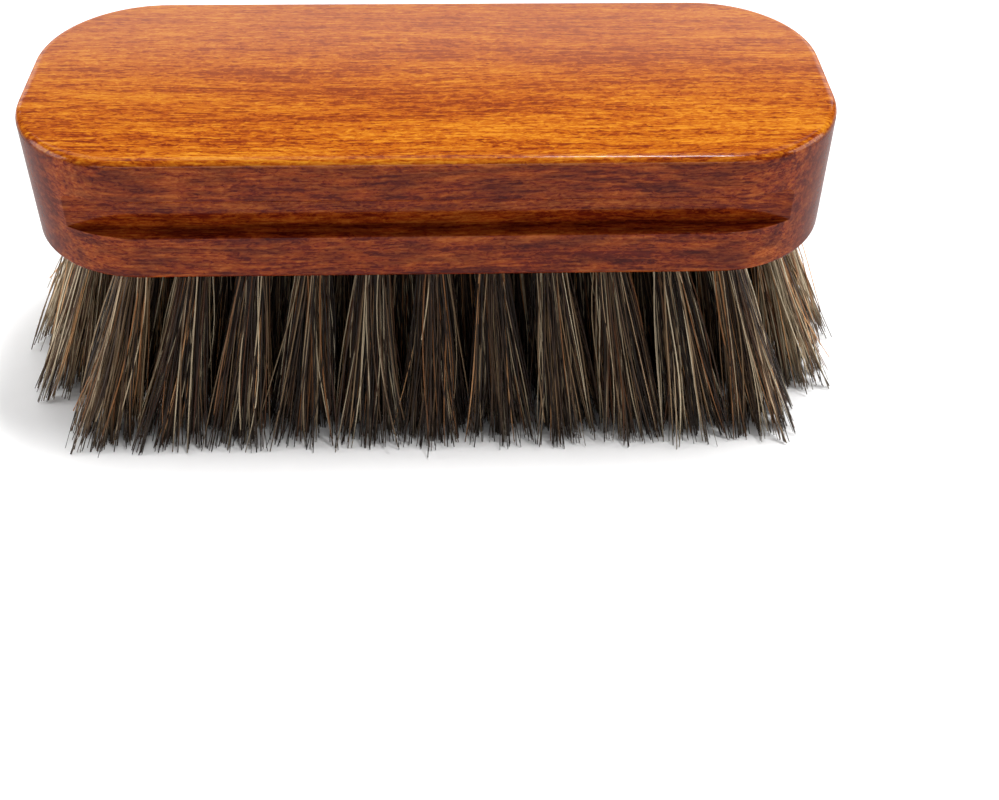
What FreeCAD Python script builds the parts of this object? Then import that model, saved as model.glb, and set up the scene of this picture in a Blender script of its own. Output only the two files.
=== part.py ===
import FreeCAD, Part
import math
import os

import Sketcher
from FreeCAD import Vector

# Palm clothes brush: a one-piece wooden block with a finger groove along each side, and tufts of
# horsehair folded into blind holes in its underside, each held by a wire staple.
#
# The brush stands on its hair. X runs along the block, Y across it and Z up. The origin is on the
# plane of the hair tips, below the middle of the block. Lengths are in millimetres.

SIZES = {
    # wooden block
    "block_length": 120.0,
    "block_width": 48.0,
    "block_height": 19.8,
    "corner_radius": 18.0,      # rounded ends, in plan
    "arris_radius": 1.3,        # edge of the back
    "foot_radius": 0.8,         # edge of the underside
    # finger groove along each side
    "groove_depth": 3.2,
    "groove_height": 5.8,
    "shelf_height": 7.3,        # ledge of the groove above the underside
    "throat_radius": 1.5,       # where the back wall turns over into the roof of the groove
    "lip_radius": 0.35,         # rounded edges of the ledge and the roof
    # tuft holes
    "hole_diameter": 5.0,
    "hole_depth": 8.0,
    "middle_end": 7.2,          # end of the block to the last hole of the middle row
    "inner_end": 9.5,           # the same for the rows beside it
    "outer_end": 16.0,          # the same for the outer rows
    "side_margin": 7.0,         # side of the block to the outer rows
    # horsehair tufts
    "hair_length": 28.5,        # underside to tips
    "end_lean": 9.5,            # from the end hole of the middle row out to the middle of its tips
    "side_lean": 8.2,           # the same for an outer row
    "tuft_fit": 0.05,           # tuft to the wall of its hole
    "tip_gap": 0.3,             # between the tips of neighbouring tufts
    # wire staples
    "wire_diameter": 0.8,
    "staple_span": 3.0,         # between the middles of the legs
    "staple_leg": 4.6,          # middle of the crown to the points
    "staple_bend": 0.6,         # to the middle of the wire
    "fold_height": 1.4,         # middle of the crown below the floor of the hole
}

# Each row of tufts: its place across the block, its number of tufts and its pitch along the block.
ROWS = [
    (-2, 11, "outer_pitch"),
    (-1, 12, "inner_pitch"),
    (0, 13, "middle_pitch"),
    (1, 12, "inner_pitch"),
    (2, 11, "outer_pitch"),
]
TUFTS_OF = {pitch: count for _, count, pitch in ROWS}
LONGEST_ROW = max(TUFTS_OF.values())

# Sizes that follow from the driving sizes, as formulas of the sheet.
WORKED_OUT = {
    "back": "=hair_length + block_height",
    "shelf": "=hair_length + shelf_height",
    "hole_floor": "=hair_length + hole_depth",
    "middle_pitch": f"=(block_length - 2 * middle_end) / {TUFTS_OF['middle_pitch'] - 1}",
    "inner_pitch": f"=(block_length - 2 * inner_end) / {TUFTS_OF['inner_pitch'] - 1}",
    "outer_pitch": f"=(block_length - 2 * outer_end) / {TUFTS_OF['outer_pitch'] - 1}",
    "least_pitch": "=min(middle_pitch; inner_pitch; outer_pitch)",
    "row_pitch": f"=(block_width - 2 * side_margin) / {len(ROWS) - 1}",
    "spread_along": "=1 + end_lean / (block_length / 2 - middle_end)",
    "spread_across": "=1 + side_lean / (block_width / 2 - side_margin)",
    "tip_pitch": "=min(spread_along * least_pitch; spread_across * row_pitch)",
    "tip_radius": "=(tip_pitch - tip_gap) / 2",
    "packed_radius": "=hole_diameter / 2 - tuft_fit",
    "crown": "=hole_floor - fold_height",
    "staple_points": "=crown + staple_leg",
}

RIGHT_ANGLE = math.pi / 2
UP = Vector(0, 0, 1)
FLAT = 1e-4                     # how level an edge is, to count as flat

doc = FreeCAD.newDocument("clothes_brush")
sheet = doc.addObject("Spreadsheet::Sheet", "Sizes")


# ---------------------------------------------------------------- sheet and sketches
def fill_sheet():
    """Writes each size in column B, with its name beside it."""
    for line, (name, value) in enumerate({**SIZES, **WORKED_OUT}.items(), 1):
        sheet.set(f"A{line}", name)
        sheet.set(f"B{line}", str(value))
        sheet.setAlias(f"B{line}", name)
    doc.recompute()


def size(name):
    """The value of a cell of the sheet, in millimetres."""
    return float(sheet.get(name))


def bind(thing, **formulas):
    """Ties properties of an object to the sheet. A double underscore stands for a dot."""
    for name, formula in formulas.items():
        thing.setExpression(name.replace("__", "."), formula)


def origin(body, role):
    """A plane or an axis of the body's own origin."""
    return next(feature for feature in body.Origin.OriginFeatures if feature.Role == role)


def new_sketch(body, name, plane, **offsets):
    """A sketch on an origin plane, moved off it by formulas."""
    sketch = body.newObject("Sketcher::SketchObject", name)
    sketch.AttachmentSupport = [(origin(body, plane), "")]
    sketch.MapMode = "FlatFace"
    bind(sketch, **{"AttachmentOffset__Base__" + axis: formula for axis, formula in offsets.items()})
    return sketch


def hold(sketch, *constraints):
    """Adds geometric constraints."""
    for constraint in constraints:
        sketch.addConstraint(Sketcher.Constraint(*constraint))


def dimension(sketch, name, formula, *constraint):
    """Adds a named size and ties it to the sheet."""
    number = sketch.addConstraint(Sketcher.Constraint(*constraint))
    sketch.renameConstraint(number, name)
    sketch.setExpression("Constraints." + name, formula)


def arc(centre, radius, start, end):
    return Part.ArcOfCircle(Part.Circle(centre, UP, radius), start, end)


def first_of(count, pitch):
    """Formula for where a row starts, at its left end."""
    return f"-{(count - 1) / 2} * Sizes.{pitch}"


def repeat_row(body, name, feature, count, pitch):
    """Repeats a feature along a row, from the row's left end."""
    row = body.newObject("PartDesign::LinearPattern", name)
    row.Originals = [feature]
    row.Direction = (origin(body, "X_Axis"), [""])
    row.Occurrences = count
    bind(row, Length=f"{count - 1} * Sizes.{pitch}")
    body.Tip = row


# ---------------------------------------------------------------- wooden block
def outline_sketch(body):
    """The block in plan: a rectangle with rounded corners, centred on the origin."""
    sketch = new_sketch(body, "Outline", "XY_Plane", z="Sizes.hair_length")
    a, b, r = size("block_length") / 2, size("block_width") / 2, size("corner_radius")
    sides = [
        ((r - a, -b), (a - r, -b)),
        ((a, r - b), (a, b - r)),
        ((a - r, b), (r - a, b)),
        ((-a, b - r), (-a, r - b)),
    ]
    centres = [(a - r, r - b), (a - r, b - r), (r - a, b - r), (r - a, r - b)]
    for turn, ((start, end), centre) in enumerate(zip(sides, centres), -1):
        sketch.addGeometry(Part.LineSegment(Vector(*start), Vector(*end)))
        sketch.addGeometry(arc(Vector(*centre), r, turn * RIGHT_ANGLE, (turn + 1) * RIGHT_ANGLE))
    pieces = sketch.GeometryCount
    hold(sketch, *[("Tangent", n, 2, (n + 1) % pieces, 1) for n in range(pieces)])
    hold(sketch, ("Horizontal", 0), ("Vertical", 2), ("Horizontal", 4), ("Vertical", 6))
    hold(sketch, ("Equal", 1, 3), ("Equal", 1, 5), ("Symmetric", 1, 3, 5, 3, -1, 1))
    dimension(sketch, "length", "Sizes.block_length", "DistanceX", 6, 1, 2, 1, 2 * a)
    dimension(sketch, "width", "Sizes.block_width", "DistanceY", 0, 1, 4, 1, 2 * b)
    dimension(sketch, "corner", "Sizes.corner_radius", "Radius", 1, r)
    return sketch


def edges_at(shape, height):
    """Names of the edges that lie flat at this height."""
    found = []
    for number, edge in enumerate(shape.Edges, 1):
        box = edge.BoundBox
        if abs(box.ZMin - height) < FLAT and abs(box.ZMax - height) < FLAT:
            found.append(f"Edge{number}")
    return found


def round_edges(body, name, height, radius):
    """Rounds all edges at one height."""
    doc.recompute()
    base = body.Tip
    fillet = body.newObject("PartDesign::Fillet", name)
    fillet.Base = (base, edges_at(base.Shape, size(height)))
    bind(fillet, Radius="Sizes." + radius)


def groove_sketch(body):
    """The groove in cross-section: ledge, back wall and roof, with the outer edges rounded."""
    sketch = new_sketch(body, "GrooveProfile", "YZ_Plane")
    side, shelf = size("block_width") / 2, size("shelf")
    depth, roof = size("groove_depth"), shelf + size("groove_height")
    throat, lip = size("throat_radius"), size("lip_radius")
    wall, outside = side - depth, side + depth
    outline = [
        Vector(wall, shelf),
        Vector(side - lip, shelf),
        Vector(side, shelf - lip),
        Vector(outside, shelf - lip),
        Vector(outside, roof + lip),
        Vector(side, roof + lip),
        Vector(side - lip, roof),
        Vector(wall + throat, roof),
        Vector(wall, roof - throat),
    ]
    arcs = {
        1: arc(Vector(side - lip, shelf - lip), lip, 0, RIGHT_ANGLE),
        5: arc(Vector(side - lip, roof + lip), lip, -RIGHT_ANGLE, 0),
        7: arc(Vector(wall + throat, roof - throat), throat, RIGHT_ANGLE, 2 * RIGHT_ANGLE),
    }
    for n, start in enumerate(outline):
        end = outline[(n + 1) % len(outline)]
        sketch.addGeometry(arcs.get(n) or Part.LineSegment(start, end))
    hold(sketch, ("Tangent", 0, 2, 1, 2), ("Coincident", 1, 1, 2, 1), ("Coincident", 2, 2, 3, 1))
    hold(sketch, ("Coincident", 3, 2, 4, 1), ("Coincident", 4, 2, 5, 2), ("Tangent", 5, 1, 6, 1))
    hold(sketch, ("Tangent", 6, 2, 7, 1), ("Tangent", 7, 2, 8, 1), ("Coincident", 8, 2, 0, 1))
    hold(sketch, *[("Horizontal", n) for n in (0, 2, 4, 6)], *[("Vertical", n) for n in (3, 8)])
    hold(sketch, ("Horizontal", 1, 3, 1, 1), ("Horizontal", 5, 3, 5, 2), ("Equal", 1, 5))
    half_width = "Sizes.block_width / 2"
    dimension(sketch, "side", half_width, "DistanceX", -1, 1, 1, 1, side)
    dimension(sketch, "roof_side", half_width, "DistanceX", -1, 1, 5, 2, side)
    dimension(sketch, "depth", "Sizes.groove_depth", "DistanceX", 0, 1, 1, 1, depth)
    dimension(sketch, "outside", "Sizes.groove_depth", "DistanceX", 1, 1, 2, 2, depth)
    dimension(sketch, "shelf", "Sizes.shelf", "DistanceY", -1, 1, 0, 1, shelf)
    dimension(sketch, "height", "Sizes.groove_height", "DistanceY", 0, 1, 6, 2, roof - shelf)
    dimension(sketch, "lip", "Sizes.lip_radius", "Radius", 1, lip)
    dimension(sketch, "throat", "Sizes.throat_radius", "Radius", 7, throat)
    return sketch


def mill_grooves(body):
    """A straight cut right along each side; it runs out where the ends turn in."""
    cut = body.newObject("PartDesign::Pocket", "Groove")
    cut.Profile = groove_sketch(body)
    cut.Midplane = True
    bind(cut, Length="2 * Sizes.block_length")
    both = body.newObject("PartDesign::Mirrored", "Grooves")
    both.Originals = [cut]
    both.MirrorPlane = (origin(body, "XZ_Plane"), [""])
    body.Tip = both


def drill_row(body, number, place, count, pitch):
    """One row of blind holes."""
    sketch = new_sketch(
        body, f"HoleSketch{number}", "XY_Plane", z="Sizes.hair_length",
        x=first_of(count, pitch), y=f"{place} * Sizes.row_pitch",
    )
    sketch.addGeometry(Part.Circle(Vector(), UP, size("hole_diameter") / 2))
    hold(sketch, ("Coincident", 0, 3, -1, 1))
    dimension(sketch, "bore", "Sizes.hole_diameter", "Diameter", 0, size("hole_diameter"))
    hole = body.newObject("PartDesign::Pocket", f"Hole{number}")
    hole.Profile = sketch
    hole.Reversed = True
    bind(hole, Length="Sizes.hole_depth")
    repeat_row(body, f"HoleRow{number}", hole, count, pitch)


def make_wood():
    body = doc.addObject("PartDesign::Body", "Wood")
    pad = body.newObject("PartDesign::Pad", "Blank")
    pad.Profile = outline_sketch(body)
    bind(pad, Length="Sizes.block_height")
    round_edges(body, "Arris", "back", "arris_radius")
    round_edges(body, "Foot", "hair_length", "foot_radius")
    mill_grooves(body)
    for number, (place, count, pitch) in enumerate(ROWS, 1):
        drill_row(body, number, place, count, pitch)
    return body


# ---------------------------------------------------------------- staples
def spine_sketch(body, number, place, start):
    """The middle line of a staple: the crown lies across the brush, and the legs point up."""
    sketch = new_sketch(body, f"Spine{number}", "YZ_Plane", x=f"{place} * Sizes.row_pitch", z=start)
    half, bend = size("staple_span") / 2, size("staple_bend")
    low, points = size("crown"), size("staple_points")
    sketch.addGeometry([
        Part.LineSegment(Vector(-half, points), Vector(-half, low + bend)),
        arc(Vector(bend - half, low + bend), bend, 2 * RIGHT_ANGLE, 3 * RIGHT_ANGLE),
        Part.LineSegment(Vector(bend - half, low), Vector(half - bend, low)),
        arc(Vector(half - bend, low + bend), bend, 3 * RIGHT_ANGLE, 4 * RIGHT_ANGLE),
        Part.LineSegment(Vector(half, low + bend), Vector(half, points)),
    ])
    hold(sketch, ("Tangent", 0, 2, 1, 1), ("Tangent", 1, 2, 2, 1), ("Tangent", 2, 2, 3, 1))
    hold(sketch, ("Tangent", 3, 2, 4, 1), ("Vertical", 0), ("Horizontal", 2), ("Vertical", 4))
    hold(sketch, ("Equal", 1, 3), ("Symmetric", 0, 1, 4, 2, -2))
    dimension(sketch, "span", "Sizes.staple_span", "DistanceX", 0, 1, 4, 2, 2 * half)
    dimension(sketch, "crown", "Sizes.crown", "DistanceY", -1, 1, 2, 1, low)
    dimension(sketch, "points", "Sizes.staple_points", "DistanceY", -1, 1, 0, 1, points)
    dimension(sketch, "bend", "Sizes.staple_bend", "Radius", 1, bend)
    return sketch


def bend_row(body, number, place, count, pitch):
    """One row of staples, all alike."""
    start = first_of(count, pitch)
    section = new_sketch(
        body, f"Wire{number}", "XY_Plane", z="Sizes.staple_points", x=start,
        y=f"{place} * Sizes.row_pitch - Sizes.staple_span / 2",
    )
    section.addGeometry(Part.Circle(Vector(), UP, size("wire_diameter") / 2))
    hold(section, ("Coincident", 0, 3, -1, 1))
    dimension(section, "wire", "Sizes.wire_diameter", "Diameter", 0, size("wire_diameter"))
    spine = spine_sketch(body, number, place, start)
    doc.recompute()
    staple = body.newObject("PartDesign::AdditivePipe", f"Staple{number}")
    staple.Profile = (section, [""])
    staple.Spine = (spine, [""])
    repeat_row(body, f"StapleRow{number}", staple, count, pitch)


def make_staples():
    body = doc.addObject("PartDesign::Body", "Wires")
    body.AllowCompound = True
    for number, (place, count, pitch) in enumerate(ROWS, 1):
        bend_row(body, number, place, count, pitch)
    return body


# ---------------------------------------------------------------- horsehair tufts
def make_tuft(name, x, y):
    """A bundle packed round in its hole, that leans outwards and widens to its tips."""
    packed = doc.addObject("Part::Cylinder", name + "_packed")
    bind(packed, Radius="Sizes.packed_radius", Height="Sizes.hole_depth")
    mouth = doc.addObject("Part::Circle", name + "_mouth")
    bind(mouth, Radius="Sizes.packed_radius")
    for thing in (packed, mouth):
        bind(thing, Placement__Base__x=x, Placement__Base__y=y)
        bind(thing, Placement__Base__z="Sizes.hair_length")
    tips = doc.addObject("Part::Circle", name + "_tips")
    bind(tips, Radius="Sizes.tip_radius", Placement__Base__x=f"{x} * Sizes.spread_along",
         Placement__Base__y=f"{y} * Sizes.spread_across")
    free = doc.addObject("Part::Loft", name + "_free")
    free.Sections = [tips, mouth]
    free.Solid = True
    free.Ruled = True
    whole = doc.addObject("Part::Fuse", name + "_whole")
    whole.Base = packed
    whole.Tool = free
    return whole


def cut_away(name, base, tool):
    """The base with room cut in it for the tool."""
    cut = doc.addObject("Part::Cut", name)
    cut.Label = name
    cut.Base = base
    cut.Tool = tool
    return cut


def make_tufts(wires):
    """All tufts by name. The two at the ends of the longest row share one name."""
    tufts = {}
    for number, (place, count, pitch) in enumerate(ROWS, 1):
        ends = []
        for k in range(count):
            name = f"tuft_r{number}_{k + 1:02d}"
            x = f"{k - (count - 1) / 2} * Sizes.{pitch}"
            whole = make_tuft(name, x, f"{place} * Sizes.row_pitch")
            if count == LONGEST_ROW and k in (0, count - 1):
                ends.append(whole)
            else:
                tufts[name] = (cut_away(name, whole, wires), 1)
        if ends:
            name = f"tuft_r{number}_ends"
            pair = doc.addObject("Part::Compound", name + "_pair")
            pair.Links = ends
            tufts[name] = (cut_away(name, pair, wires), len(ends))
    return tufts


# ---------------------------------------------------------------- assembly
def failed(thing):
    return any(state in ("Invalid", "Error") for state in thing.State)


def write(name, thing, solids):
    """Writes one part, if it is made of so many sound solids."""
    shape = thing.Shape
    if shape.isNull() or not shape.isValid() or len(shape.Solids) != solids:
        raise RuntimeError(f"{name} isn't {solids} sound solids")
    shape.exportStep(f"parts/{name}.step")


def main():
    fill_sheet()
    wood = make_wood()
    wires = make_staples()
    wires.Label = "staples"
    parts = {"block": (cut_away("block", wood, wires), 1)}
    parts["staples"] = (wires, sum(count for _, count, _ in ROWS))
    parts.update(make_tufts(wires))
    doc.recompute()
    for thing in doc.Objects:
        if failed(thing):
            raise RuntimeError(f"{thing.Label}: {thing.State}")
    os.makedirs("parts", exist_ok=True)
    for name, (thing, solids) in parts.items():
        write(name, thing, solids)
    print(len(parts), "parts; block volume", round(parts["block"][0].Shape.Volume, 1))


main()
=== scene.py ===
import math

import bpy
import numpy as np
from mathutils import Matrix, Vector


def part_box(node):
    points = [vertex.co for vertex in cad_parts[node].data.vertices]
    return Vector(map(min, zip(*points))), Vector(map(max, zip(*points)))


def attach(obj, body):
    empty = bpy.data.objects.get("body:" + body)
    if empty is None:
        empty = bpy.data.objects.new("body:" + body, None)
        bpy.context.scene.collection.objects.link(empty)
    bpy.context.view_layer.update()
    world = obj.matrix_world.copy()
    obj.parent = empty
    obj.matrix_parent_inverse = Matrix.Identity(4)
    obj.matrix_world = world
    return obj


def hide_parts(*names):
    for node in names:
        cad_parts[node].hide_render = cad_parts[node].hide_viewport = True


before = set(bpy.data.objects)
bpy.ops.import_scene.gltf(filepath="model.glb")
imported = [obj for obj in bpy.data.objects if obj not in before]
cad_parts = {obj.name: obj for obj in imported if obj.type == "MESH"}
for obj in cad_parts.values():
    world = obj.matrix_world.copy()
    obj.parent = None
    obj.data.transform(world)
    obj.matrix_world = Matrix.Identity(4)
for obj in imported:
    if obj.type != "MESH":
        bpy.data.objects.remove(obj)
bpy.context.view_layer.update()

MM = 0.001
SEED = 23

# ---------------------------------------------------------------- sizes, in millimetres
HAIRS = 150                     # folded hairs in a tuft; each one shows two ends
HAIR_RADIUS = 0.10
TIP_SHRINK = 0.8                # radius of a cut tip against the rest of the hair
PACKED_SHARE = 0.93             # of the hole's radius, filled with hair
WIRE_RADIUS = 0.4
CROWN_DROP = 1.4                # of a staple's crown, below the floor of its hole
FOLD_SPREAD = 0.42              # hairs close up between the legs of the staple
FOLD_DEPTH = 0.75               # of the bundle over the wire
FOLD_GAP = 0.55                 # from the middle of the wire to the nearest hair beside it
LEG_STEPS = ((0.75, 2.4), (0.5, 0.0))   # how wide a leg still is, and how far below the crown
LOCKS = 12                      # in a tuft
LOCK_PULL = (0.05, 0.6)         # how far a tip is drawn to its lock
FOLLOW = 0.80                   # how far a tip follows its root
SCATTER = 0.40                  # and how far it strays from there
STRAYS = 0.02                   # share of the hairs that stick out
SHORT = 0.03                    # share of the hairs that end early
TIP_LIFT = 0.1                  # of the lowest tips, above the floor
CELL = (1.15, 1.24)             # what a tuft fills along and across, against its CAD tips
FREE_STEPS = 8                  # points along the free length of a hair
END_TUFT = 53.0                 # from the middle of the brush to its end tufts, where the hair's painted light is full
GROOVE_WALL = (21.0, 21.6)      # across the block, just outside the groove's back wall, where its painted light ends
GROOVE_END = (51.0, 52.5)       # along it, where the groove runs out and the painted light on its wall fades
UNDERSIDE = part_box("block")[0][2] / MM
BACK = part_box("block")[1][2] / MM

# ---------------------------------------------------------------- shader maths
class Field:
    """A value, colour or vector on its way through a finish."""

    def __init__(self, finish, socket):
        self.finish = finish
        self.socket = socket

    def math(self, operation, *values):
        inputs = dict(enumerate(values))
        return self.finish.node("ShaderNodeMath", {"operation": operation}, inputs)

    def __add__(self, other):
        return self.math("ADD", self, other)

    def __sub__(self, other):
        return self.math("SUBTRACT", self, other)

    def __rsub__(self, other):
        return self.math("SUBTRACT", other, self)

    def __mul__(self, other):
        return self.math("MULTIPLY", self, other)

    __radd__ = __add__
    __rmul__ = __mul__

    def __abs__(self):
        return self.math("ABSOLUTE", self)

    def between(self, low, high):
        """0 below low, 1 above high, and a soft step from one to the other."""
        settings = {"interpolation_type": "SMOOTHSTEP"}
        inputs = {"Value": self, "From Min": low, "From Max": high}
        return self.finish.node("ShaderNodeMapRange", settings, inputs)


class Finish:
    """A material, built round one surface shader."""

    def __init__(self, name):
        self.material = bpy.data.materials.new(name)
        self.material.use_nodes = True
        self.tree = self.material.node_tree
        self.shader = self.tree.nodes["Principled BSDF"]

    def node(self, kind, settings=None, inputs=None, output=0):
        """Adds a node. Settings come first, because they decide which sockets there are."""
        made = self.tree.nodes.new(kind)
        for name, value in (settings or {}).items():
            if name == "stops":
                self.set_stops(made.color_ramp, value)
            else:
                setattr(made, name, value)
        for name, value in (inputs or {}).items():
            self.feed(made.inputs[name], value)
        return Field(self, made.outputs[output])

    def set_stops(self, ramp, stops):
        while len(ramp.elements) < len(stops):
            ramp.elements.new(1.0)
        for element, (position, colour) in zip(ramp.elements, stops):
            element.position = position
            element.color = (*colour, 1.0)

    def feed(self, socket, value):
        if isinstance(value, Field):
            self.tree.links.new(value.socket, socket)
        elif isinstance(value, tuple) and socket.type == "RGBA":
            socket.default_value = (*value, 1.0)
        else:
            socket.default_value = value

    def surface(self, **inputs):
        for name, value in inputs.items():
            self.feed(self.shader.inputs[name.replace("_", " ")], value)
        return self.material

    def place(self):
        """Where a point of the piece is, in millimetres."""
        spot = self.node("ShaderNodeTexCoord", output="Object")
        return self.vector("SCALE", spot, Scale=1 / MM)

    def vector(self, operation, *vectors, **inputs):
        named = {**dict(enumerate(vectors)), **inputs}
        return self.node("ShaderNodeVectorMath", {"operation": operation}, named)

    def noise(self, where, scale, detail=2.0, roughness=0.5, distortion=0.0, output="Fac"):
        """Soft noise. The scale is in bumps per millimetre along X, Y and Z."""
        spread = self.vector("MULTIPLY", where, scale)
        inputs = {"Vector": spread, "Scale": 1.0, "Detail": detail,
                  "Roughness": roughness, "Distortion": distortion}
        return self.node("ShaderNodeTexNoise", None, inputs, output)

    def ramp(self, value, stops):
        return self.node("ShaderNodeValToRGB", {"stops": stops}, {"Fac": value})

    def mix(self, mask, first, second, blend="MIX"):
        settings = {"data_type": "RGBA", "blend_type": blend}
        return self.node("ShaderNodeMix", settings, {0: mask, 6: first, 7: second}, 2)

    def bump(self, height, distance, strength=1.0):
        inputs = {"Height": height, "Distance": distance * MM, "Strength": strength}
        return self.node("ShaderNodeBump", None, inputs)


# ---------------------------------------------------------------- finishes
def lacquered_wood():
    """Stained fine-grained wood under a clear gloss, with its fibres along the block."""
    # Its sides carry painted shade, and the back wall of its groove carries painted light.
    wood = Finish("lacquered_wood")
    place = wood.place()
    drift = wood.noise(place, (0.010, 0.035, 0.035), output="Color")
    drift = wood.vector("SUBTRACT", drift, (0.5, 0.5, 0.5))
    drift = wood.vector("MULTIPLY", drift, (0.0, 9.0, 9.0))
    grain = wood.vector("ADD", place, drift)
    patches = wood.noise(grain, (0.020, 0.085, 0.085), 2.0, 0.5)
    streaks = wood.noise(grain, (0.030, 0.42, 0.42), 3.0, 0.6)
    fibres = wood.noise(grain, (0.16, 2.8, 2.8), 3.0, 0.65)
    threads = wood.noise(grain, (0.45, 8.0, 8.0), 2.0)
    figure = wood.noise(grain, (0.70, 2.0, 2.0), 3.0, 0.7, 0.9)
    pores = wood.noise(grain, (0.55, 6.5, 6.5), 1.0).between(0.68, 0.78)

    along, across, height = (
        wood.node("ShaderNodeSeparateXYZ", None, {0: place}, axis) for axis in "XYZ"
    )
    rear = across.between(-26.0, 22.0)
    tone = 0.11 * patches + 0.23 * streaks + 0.30 * fibres + 0.36 * figure - 0.010 * rear
    colour = wood.ramp(tone, [
        (0.44, (0.13, 0.014, 0.002)),
        (0.47, (0.26, 0.048, 0.003)),
        (0.50, (0.345, 0.084, 0.004)),
        (0.53, (0.420, 0.124, 0.006)),
        (0.58, (0.550, 0.212, 0.013)),
    ])
    colour = wood.mix(0.30 * threads.between(0.4, 0.7), colour, (0.36, 0.070, 0.010))
    colour = wood.mix(0.50 * pores, colour, (0.12, 0.020, 0.006))
    colour = wood.mix(0.5 * rear, colour, (0.26, 0.060, 0.006))
    # Below the top's rounded edge the sides get a darker, redder, blotchy tone: painted shade for
    # faces turned away from the top light.
    side = 1 - height.between(BACK - 1.2, BACK - 0.1)
    blotches = wood.noise(grain, (0.13, 0.75, 0.75), 3.0, 0.6)
    painted_side_shade = wood.ramp(blotches, [(0.38, (0.28, 0.150, 0.5)), (0.60, (0.58, 0.38, 0.9))])
    side_with_painted_shading = wood.mix(1.0, colour, painted_side_shade, "MULTIPLY")
    reach = abs(along)
    # The groove's back wall gets less of the side tone: painted light on a recess that would
    # otherwise lie in shade.
    inside = 1 - abs(across).between(*GROOVE_WALL)
    wall = inside * (1 - reach.between(*GROOVE_END))
    lighter = wood.mix(1.0, colour, (0.9, 0.6, 0.9), "MULTIPLY")
    side_with_painted_shading = wood.mix(0.32 * wall, side_with_painted_shading, lighter)
    # The end faces are darkened further: painted shade that holds back the side lamps there.
    side_with_painted_shading = wood.mix(0.75 * reach.between(50.0, 58.0), side_with_painted_shading, (0.068, 0.010, 0.004))
    relief = 0.5 * fibres + 0.3 * threads + 0.6 * figure - 0.6 * pores
    return wood.surface(
        Base_Color=wood.mix(side, colour, side_with_painted_shading),
        Roughness=0.38 + 0.16 * fibres,
        Specular_IOR_Level=0.0,
        Coat_Weight=0.21 + 0.14 * figure,
        Coat_Roughness=0.13,
        Normal=wood.bump(relief, 0.03),
    )


def drawn_wire():
    """Steel wire with fine lines along it."""
    wire = Finish("drawn_wire")
    place = wire.place()
    lines = wire.noise(place, (6.0, 6.0, 0.6), 3.0)
    dulling = wire.noise(place, (0.8, 0.8, 0.8), 2.0)
    return wire.surface(
        Base_Color=wire.mix(dulling, (0.42, 0.42, 0.43), (0.60, 0.60, 0.61)),
        Metallic=1.0,
        Roughness=0.28 + 0.22 * lines,
        Normal=wire.bump(lines, 0.01),
    )


def horsehair():
    """Each hair has its own tone, which changes a little from its fold to its tips. The tone carries
    painted light on the end tufts, and painted shade near the floor.
    """
    hair = Finish("horsehair")
    shade = hair.node("ShaderNodeAttribute", {"attribute_name": "shade"}, output="Fac")
    warmth = hair.node("ShaderNodeAttribute", {"attribute_name": "warmth"}, output="Fac")
    place = hair.place()
    height = hair.node("ShaderNodeSeparateXYZ", None, {0: place}, "Z")
    cuticle = hair.noise(place, (5.0, 5.0, 0.7), 2.0)
    dark = hair.ramp(shade, [
        (0.00, (0.009, 0.005, 0.003)),
        (0.25, (0.018, 0.009, 0.005)),
        (0.45, (0.036, 0.017, 0.008)),
        (0.62, (0.090, 0.048, 0.022)),
        (0.80, (0.245, 0.158, 0.082)),
        (1.00, (0.680, 0.560, 0.380)),
    ])
    auburn = hair.mix(1.0, dark, (1.25, 0.82, 0.55), "MULTIPLY")
    colour = hair.mix(warmth.between(0.74, 0.86), dark, auburn)
    colour = hair.mix(0.4 * cuticle, colour, (0.02, 0.014, 0.010))
    # Darker towards the floor over the lowest 7 mm: painted shade near the floor, with some dirt at
    # the tips.
    colour = hair.mix(0.75 - 0.75 * height.between(0.5, 7.0), colour, (0.018, 0.013, 0.010))
    return hair.surface(
        Base_Color=colour,
        Roughness=0.32 + 0.2 * cuticle,
        Specular_IOR_Level=0.2,
    )


def pale_paper():
    """The floor: plain and pale."""
    paper = Finish("pale_floor")
    tooth = paper.noise(paper.place(), (0.2, 0.2, 0.2), 3.0)
    return paper.surface(
        Base_Color=paper.mix(tooth, (0.86, 0.86, 0.86), (0.90, 0.90, 0.90)),
        Roughness=0.9,
    )


# ---------------------------------------------------------------- horsehair tufts
def middle(points):
    """The middle and the radius of a ring of points."""
    low, high = points.min(axis=0), points.max(axis=0)
    return (low + high) / 2, (high - low)[0] / 2


def bundles(node):
    """The tufts in a CAD node: (mouth, hole radius, tips, tip radius) of each, in millimetres."""
    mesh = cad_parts[node].data
    spots = np.empty(3 * len(mesh.vertices))
    mesh.vertices.foreach_get("co", spots)
    spots = spots.reshape(-1, 3) / MM
    floor, ceiling = spots[:, 2].min(), spots[:, 2].max()
    halves = [spots]
    if np.ptp(spots[:, 0]) > 2 * (ceiling - floor):
        halves = [spots[spots[:, 0] < 0], spots[spots[:, 0] > 0]]
    found = []
    for half in halves:
        top, packed = middle(half[half[:, 2] > ceiling - 0.01])
        tips, spread = middle(half[half[:, 2] < floor + 0.01])
        found.append((top, packed, tips, spread))
    return found


def disc(rng, count):
    """Random points in a unit disc."""
    turn = rng.uniform(0, 2 * math.pi, count)
    reach = np.sqrt(rng.uniform(0, 1, count))
    return np.stack([reach * np.cos(turn), reach * np.sin(turn)], axis=1)


def squared(points):
    """Stretches a unit disc to a square, so that tufts meet each other with no gaps."""
    reach = np.linalg.norm(points, axis=1, keepdims=True)
    return points * reach / np.abs(points).max(axis=1, keepdims=True)


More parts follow.
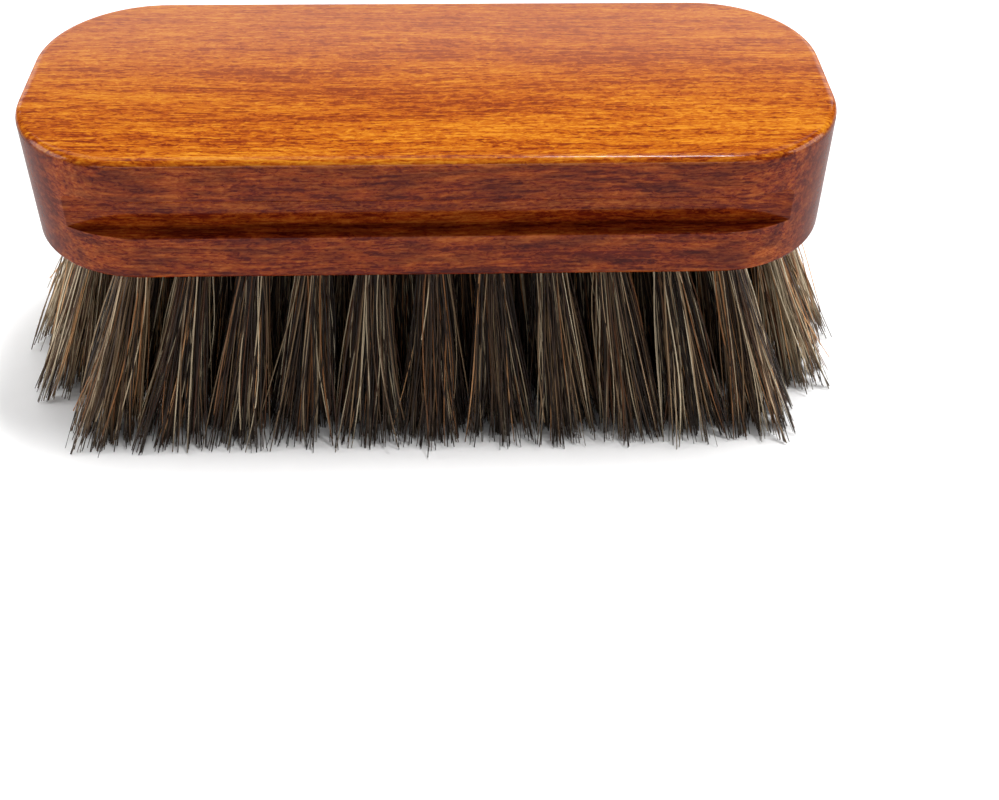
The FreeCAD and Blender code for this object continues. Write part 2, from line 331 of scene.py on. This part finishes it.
def hair_tips(rng, roots, tips, spread):
    """Where the hairs of one leg of the fold end: near where they point, drawn into locks."""
    count = len(roots)
    aim = FOLLOW * roots + SCATTER * disc(rng, count)
    locks = 1.05 * disc(rng, LOCKS)
    gap = np.linalg.norm(aim[:, None] - locks[None], axis=2)
    nearest = locks[gap.argmin(axis=1)]
    pull = rng.uniform(*LOCK_PULL, count)[:, None]
    aim += pull * (nearest - aim)
    aim /= np.maximum(1.0, np.linalg.norm(aim, axis=1, keepdims=True))
    aim = squared(aim)
    stray = rng.uniform(0, 1, count) < STRAYS
    aim[stray] *= rng.uniform(1.05, 1.4, (int(stray.sum()), 1))
    ends = np.empty((count, 3))
    ends[:, :2] = tips[:2] + spread * np.array(CELL) * aim
    ends[:, 2] = tips[2] + TIP_LIFT + np.abs(rng.normal(0, 0.2, count))
    short = rng.uniform(0, 1, count) < SHORT
    ends[short, 2] += rng.uniform(1.5, 7.0, int(short.sum()))
    return ends


def free_leg(rng, mouth, ends, lean):
    """Points from the mouth of the hole to the tips. A tuft leans at once and spreads lower down."""
    count = len(mouth)
    steps = np.linspace(0, 1, FREE_STEPS + 1)[1:]
    bow = rng.normal(0, 0.55, (count, 2))
    wave = rng.normal(0, 0.16, (count, 2))
    spread = ends - mouth - lean
    path = mouth[:, None] + steps[None, :, None] * lean
    path += steps[None, :, None] ** (1.45, 1.45, 1.0) * spread[:, None]
    path[:, :, :2] += np.sin(math.pi * steps)[None, :, None] * bow[:, None]
    path[:, :, :2] += np.sin(2 * math.pi * steps)[None, :, None] * wave[:, None]
    return path


def folded_hairs(rng, top, packed, tips, spread):
    """Middle lines of the hairs of a tuft, from tip over the staple to tip."""
    reach = packed * PACKED_SHARE
    roots = disc(rng, HAIRS)
    roots[:, 0] = np.abs(roots[:, 0])
    lean = np.array([*(tips - top)[:2], 0.0])
    crown = top[2] - CROWN_DROP
    fold = crown + WIRE_RADIUS + HAIR_RADIUS + FOLD_DEPTH * roots[:, 0]
    legs = []
    for side in (-1, 1):
        spot = roots * (side, 1)
        mouth = np.empty((HAIRS, 3))
        mouth[:, :2] = top[:2] + reach * spot
        mouth[:, 2] = UNDERSIDE
        ends = hair_tips(rng, spot, tips, spread)
        inner = np.empty((HAIRS, 2, 3))
        for step, (close, drop) in enumerate(LEG_STEPS):
            inner[:, step, 0] = top[0] + side * (FOLD_GAP + reach * roots[:, 0] * close)
            inner[:, step, 1] = top[1] + reach * roots[:, 1] * (FOLD_SPREAD + 0.3 * (1 - step))
            inner[:, step, 2] = crown - drop
        free = free_leg(rng, mouth, ends, lean)
        legs.append(np.concatenate([inner[:, ::-1], mouth[:, None], free], axis=1))
    bend = np.empty((HAIRS, 1, 3))
    bend[:, 0, 0] = top[0]
    bend[:, 0, 1] = top[1] + reach * roots[:, 1] * FOLD_SPREAD
    bend[:, 0, 2] = fold
    return np.concatenate([legs[0][:, ::-1], bend, legs[1]], axis=1)


def tube_rings(paths, radii):
    """Three points round each point of each path."""
    run = np.gradient(paths, axis=1)
    run /= np.linalg.norm(run, axis=2, keepdims=True)
    out = np.cross(run, (0.0, 1.0, 0.0))
    out /= np.linalg.norm(out, axis=2, keepdims=True)
    over = np.cross(out, run)
    rings = []
    for side in range(3):
        turn = 2 * math.pi * side / 3
        rings.append(paths + radii[..., None] * (math.cos(turn) * out + math.sin(turn) * over))
    return np.stack(rings, axis=2)


def hair_mesh(name, paths, thickness, shade, warmth):
    """A closed three-sided tube along each path, with a strip of its own in the bake layout."""
    hairs, points, _ = paths.shape
    radii = np.repeat(HAIR_RADIUS * thickness[:, None], points, axis=1)
    radii[:, [0, -1]] *= TIP_SHRINK
    radii[:, [1, -2]] *= (1 + TIP_SHRINK) / 2
    spots = tube_rings(paths, radii).reshape(-1, 3) * MM

    first = (np.arange(hairs)[:, None] * points + np.arange(points - 1)[None]).reshape(-1, 1) * 3
    side = np.arange(3)[None]
    after = (side + 1) % 3
    quads = np.stack([first + side, first + after, first + 3 + after, first + 3 + side], axis=2)
    quads = quads.reshape(-1, 4)
    starts = np.arange(hairs) * points * 3
    ends = starts + (points - 1) * 3
    caps = np.concatenate([
        np.stack([starts + 2, starts + 1, starts], axis=1),
        np.stack([ends, ends + 1, ends + 2], axis=1),
    ])

    mesh = bpy.data.meshes.new(name)
    mesh.vertices.add(len(spots))
    mesh.vertices.foreach_set("co", spots.astype(np.float32).ravel())
    corners = np.concatenate([quads.ravel(), caps.ravel()])
    mesh.loops.add(len(corners))
    mesh.loops.foreach_set("vertex_index", corners.astype(np.int32))
    sizes = np.concatenate([np.full(len(quads), 4), np.full(len(caps), 3)])
    mesh.polygons.add(len(sizes))
    mesh.polygons.foreach_set("loop_start", (np.cumsum(sizes) - sizes).astype(np.int32))
    mesh.polygons.foreach_set("use_smooth", np.ones(len(sizes), dtype=bool))
    mesh.update(calc_edges=True)

    for attribute, values in (("shade", shade), ("warmth", warmth)):
        layer = mesh.attributes.new(attribute, "FLOAT", "POINT")
        layer.data.foreach_set("value", np.repeat(values, points * 3).astype(np.float32))
    bake_strips(mesh, hairs, points, len(quads), len(caps))
    return mesh


def bake_strips(mesh, hairs, points, quads, caps):
    """Lays the hairs side by side in a grid of strips."""
    columns = math.ceil(math.sqrt(3 * hairs))
    rows = math.ceil(hairs / columns)
    hair, step, side = np.meshgrid(np.arange(hairs), np.arange(points - 1), range(3), indexing="ij")
    hair, step, side = hair.ravel(), step.ravel(), side.ravel()
    spots = []
    for over, along in ((0, 0), (1, 0), (1, 1), (0, 1)):
        u = (hair % columns + 0.1 + 0.8 * (side + over) / 3) / columns
        v = (hair // columns + 0.05 + 0.9 * (step + along) / (points - 1)) / rows
        spots.append(np.stack([u, v], axis=1))
    body = np.stack(spots, axis=1).reshape(-1, 2)
    tip = np.repeat(np.tile(np.arange(hairs), 2), 3)
    high = np.repeat([0.05, 0.95], hairs * 3)
    u = (tip % columns + 0.1 + 0.8 * np.tile([0.0, 0.5, 1.0], 2 * hairs)) / columns
    v = (tip // columns + high) / rows
    layer = mesh.uv_layers.new(name="OFBake")
    strips = np.concatenate([body, np.stack([u, v], axis=1)])
    layer.data.foreach_set("uv", strips.astype(np.float32).ravel())


def hair_traits(rng, reach):
    """Thickness, shade and warmth of each hair. Towards the ends of the brush the hair is painted
    brighter: painted light on the end tufts.
    """
    thickness = rng.uniform(0.65, 1.4, HAIRS)
    # Raising the shade towards the ends of the brush is painted light on the end tufts.
    shade = rng.uniform(0, 1, HAIRS) ** (1.25 - 1.12 * reach)
    warmth = rng.uniform(0, 1, HAIRS)
    return thickness, shade, warmth


def make_tuft(node, number, finish):
    """The hair of one CAD node."""
    rng = np.random.default_rng((SEED, number))
    tufts = []
    for top, packed, tips, spread in bundles(node):
        # How far this tuft lies in the painted light at the ends of the brush.
        reach = min(1.0, abs(top[0]) / END_TUFT) ** 4
        tufts.append((folded_hairs(rng, top, packed, tips, spread), *hair_traits(rng, reach)))
    mesh = hair_mesh("hair_" + node, *map(np.concatenate, zip(*tufts)))
    mesh.materials.append(finish)
    piece = bpy.data.objects.new("hair_" + node, mesh)
    bpy.context.collection.objects.link(piece)
    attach(piece, "root")
    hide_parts(node)


def give_finish(node, finish):
    """Gives a CAD piece its real finish."""
    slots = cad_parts[node].data.materials
    slots.clear()
    slots.append(finish)


# ---------------------------------------------------------------- floor, lights and camera
def lay_floor():
    mesh = bpy.data.meshes.new("floor")
    half = 1.5
    corners = [(-half, -half, 0), (half, -half, 0), (half, half, 0), (-half, half, 0)]
    mesh.from_pydata(corners, [], [(0, 1, 2, 3)])
    mesh.materials.append(pale_paper())
    floor = bpy.data.objects.new("floor", mesh)
    bpy.context.collection.objects.link(floor)


def hang_light(name, spot, target, size, power):
    """A soft rectangular light that faces its target. Places and sizes are in metres."""
    lamp = bpy.data.lights.new(name, "AREA")
    lamp.shape = "RECTANGLE"
    lamp.size, lamp.size_y = size
    lamp.energy = power
    light = bpy.data.objects.new(name, lamp)
    light.location = spot
    aim = Vector(target) - Vector(spot)
    light.rotation_euler = aim.to_track_quat("-Z", "Y").to_euler()
    bpy.context.collection.objects.link(light)


def light_room():
    world = bpy.data.worlds.new("room")
    bpy.context.scene.world = world
    world.use_nodes = True
    room = world.node_tree.nodes["Background"]
    room.inputs["Color"].default_value = (1.0, 1.0, 1.0, 1.0)
    room.inputs["Strength"].default_value = 0.10
    hang_light("sky", (0.0, 0.28, 0.62), (0.0, 0.0, 0.03), (0.9, 0.6), 3.3)
    hang_light("window", (0.11, 0.05, 0.56), (0.03, 0.0, 0.05), (0.19, 0.06), 2.2)
    hang_light("wall", (0.0, 0.62, 0.215), (0.0, 0.0, 0.215), (1.1, 0.33), 4.2)
    hang_light("front", (0.0, -0.9, 0.20), (0.0, 0.0, 0.04), (1.4, 0.25), 3.6)
    hang_light("left", (-0.75, -0.05, 0.24), (-0.06, 0.0, 0.03), (0.5, 0.42), 4.6)
    hang_light("right", (0.75, -0.05, 0.24), (0.06, 0.0, 0.03), (0.5, 0.42), 4.6)


def place_camera():
    """Looks down on the front of the brush from a little left of its middle."""
    distance = 253.09 * MM
    target = Vector((11.17, 0.0, UNDERSIDE - 46.14)) * MM
    rise, turn, roll = (math.radians(angle) for angle in (41.95, -2.51, 0.88))
    back = Vector((
        math.sin(turn) * math.cos(rise), -math.cos(turn) * math.cos(rise), math.sin(rise),
    ))
    level = (-back).cross(Vector((0, 0, 1))).normalized()
    upright = level.cross(-back)
    right = level * math.cos(roll) + upright * math.sin(roll)
    up = upright * math.cos(roll) - level * math.sin(roll)
    lens = bpy.data.cameras.new("camera")
    lens.lens = 50.18
    lens.sensor_width = 36.0
    camera = bpy.data.objects.new("camera", lens)
    turned = Matrix((right, up, back)).transposed().to_4x4()
    camera.matrix_world = Matrix.Translation(target + back * distance) @ turned
    bpy.context.collection.objects.link(camera)
    bpy.context.scene.camera = camera


# ---------------------------------------------------------------- the brush
give_finish("block", lacquered_wood())
give_finish("staples", drawn_wire())
hair_finish = horsehair()
for number, node in enumerate(sorted(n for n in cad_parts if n.startswith("tuft"))):
    make_tuft(node, number, hair_finish)

lay_floor()
light_room()
place_camera()
bpy.context.scene.view_settings.view_transform = "Standard"
